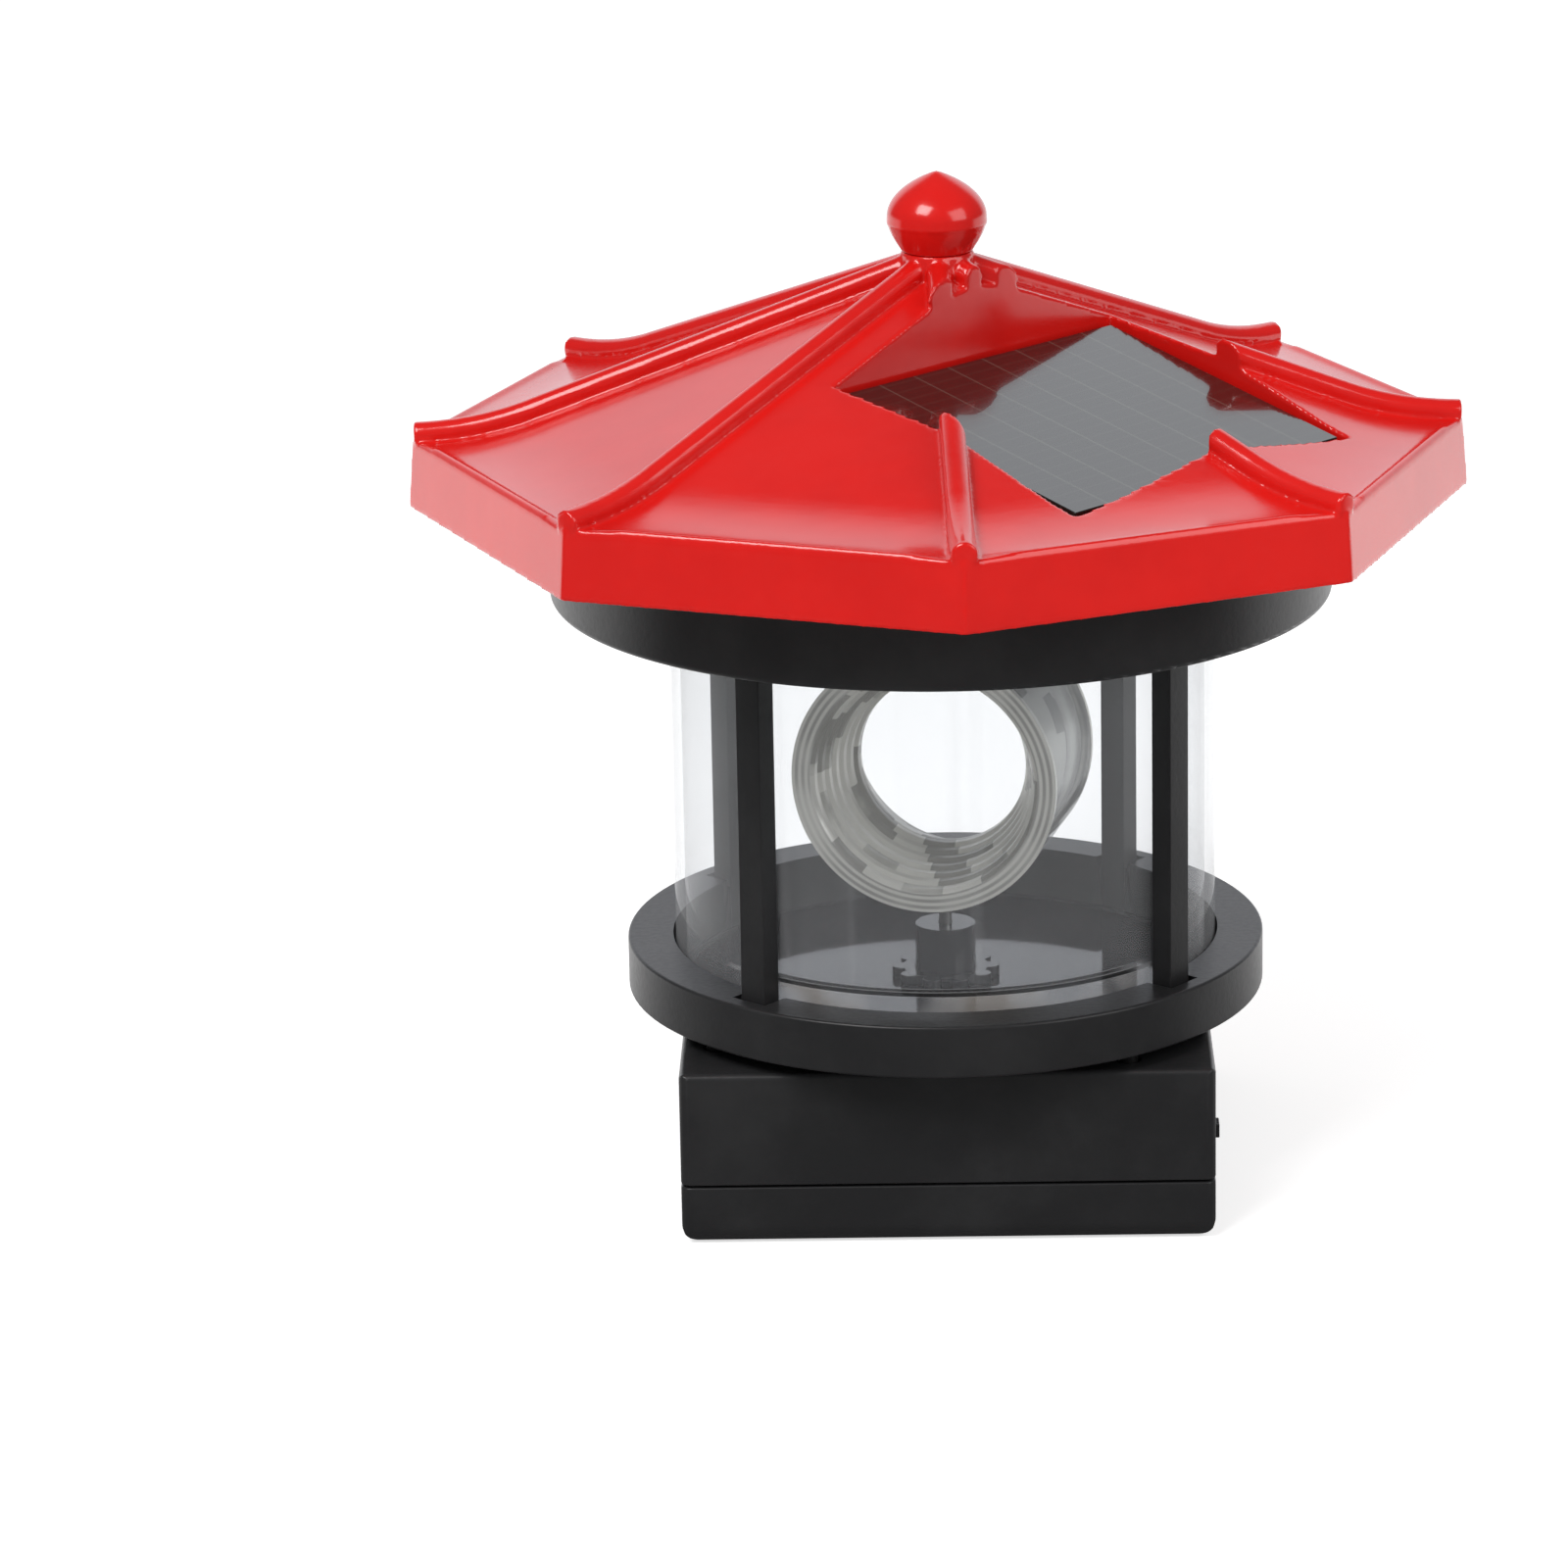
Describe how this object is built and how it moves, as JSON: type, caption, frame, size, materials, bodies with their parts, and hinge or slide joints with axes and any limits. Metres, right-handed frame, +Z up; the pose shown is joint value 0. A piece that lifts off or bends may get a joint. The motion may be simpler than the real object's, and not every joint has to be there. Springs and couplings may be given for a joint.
{
  "type": "solar rotating lantern head",
  "caption": "Octagonal red roof with ribs, onion knob and sloping solar panel over a clear round lantern with a turning mirrored lens drum, on a square black battery box.",
  "frame": {"origin": "centre of the square base's underside, on the drum's turning axis", "axes": "+Z up along the turning axis, -Y the front of the box, +X its right side with the switch"},
  "size_m": [0.1198, 0.1198, 0.1164],
  "materials": {
    "red_plastic": "glossy",
    "solar_laminate": "glossy resin over dark cells",
    "circuit_board": "solder mask",
    "electronic_parts": "moulded",
    "black_plastic": "semi-gloss",
    "floor_plastic": "glossy",
    "steel": "zinc plated",
    "clear_plastic": "clear",
    "metallised_plastic": "vacuum metallised",
    "lamp_resin": "clear resin",
    "battery_wrap": "printed shrink wrap",
    "contact_metal": "nickel plated",
    "motor_can": "drawn can",
    "gear_plastic": "natural acetal",
    "plate_plastic": "moulded",
    "switch_plastic": "moulded",
    "wire_jacket": "vinyl jacket"
  },
  "bodies": {
    "lantern": {"roof_shell": "red_plastic", "finial": "red_plastic", "solar_panel": "solar_laminate", "control_board": "circuit_board", "board_parts": "electronic_parts", "top_plate": "black_plastic", "roof_screws": "steel", "post_front_right": "black_plastic", "post_front_left": "black_plastic", "post_rear_left": "black_plastic", "post_rear_right": "black_plastic", "clear_shade": "clear_plastic", "gallery_ring": "black_plastic", "lantern_floor": "floor_plastic", "bearing_tower": "floor_plastic", "star_collar": "floor_plastic", "led": "lamp_resin", "led_holder": "floor_plastic", "base_housing": "black_plastic", "base_cover": "black_plastic", "cover_screws": "steel", "floor_screws": "steel", "battery": "battery_wrap", "battery_spring": "contact_metal", "battery_contact": "contact_metal", "motor": "motor_can", "idler_axle": "steel", "gear_plate": "plate_plastic", "plate_screws": "steel", "switch_body": "switch_plastic", "post_wires": "wire_jacket", "panel_wires": "wire_jacket"},
    "lens": {"lens_barrel": "clear_plastic", "front_reflector": "metallised_plastic", "rear_reflector": "metallised_plastic", "drive_shaft": "steel", "output_gear": "gear_plastic"},
    "idler": {"idler_gear": "gear_plastic"},
    "pinion": {"motor_pinion": "gear_plastic"},
    "switch": {"switch_knob": "black_plastic"}
  },
  "joints": [
    {"name": "lens_spin", "type": "hinge", "parent": "lantern", "child": "lens", "pos_m": [0, 0, 0.0479], "axis": [0, 0, 1], "continuous": true},
    {"name": "idler_spin", "type": "hinge", "parent": "lantern", "child": "idler", "pos_m": [-0.00901, -0.00631, 0.0118], "axis": [0, 0, 1], "continuous": true},
    {"name": "pinion_spin", "type": "hinge", "parent": "lantern", "child": "pinion", "pos_m": [-0.01401, -0.01497, 0.0118], "axis": [0, 0, 1], "continuous": true},
    {"name": "switch_slide", "type": "slide", "parent": "lantern", "child": "switch", "axis": [0, 1, 0], "range_m": [0, 0.003]}
  ],
  "couplings": [
    {"joint": "idler_spin", "follows": "lens_spin", "ratio": -4.5},
    {"joint": "pinion_spin", "follows": "lens_spin", "ratio": 18}
  ]
}
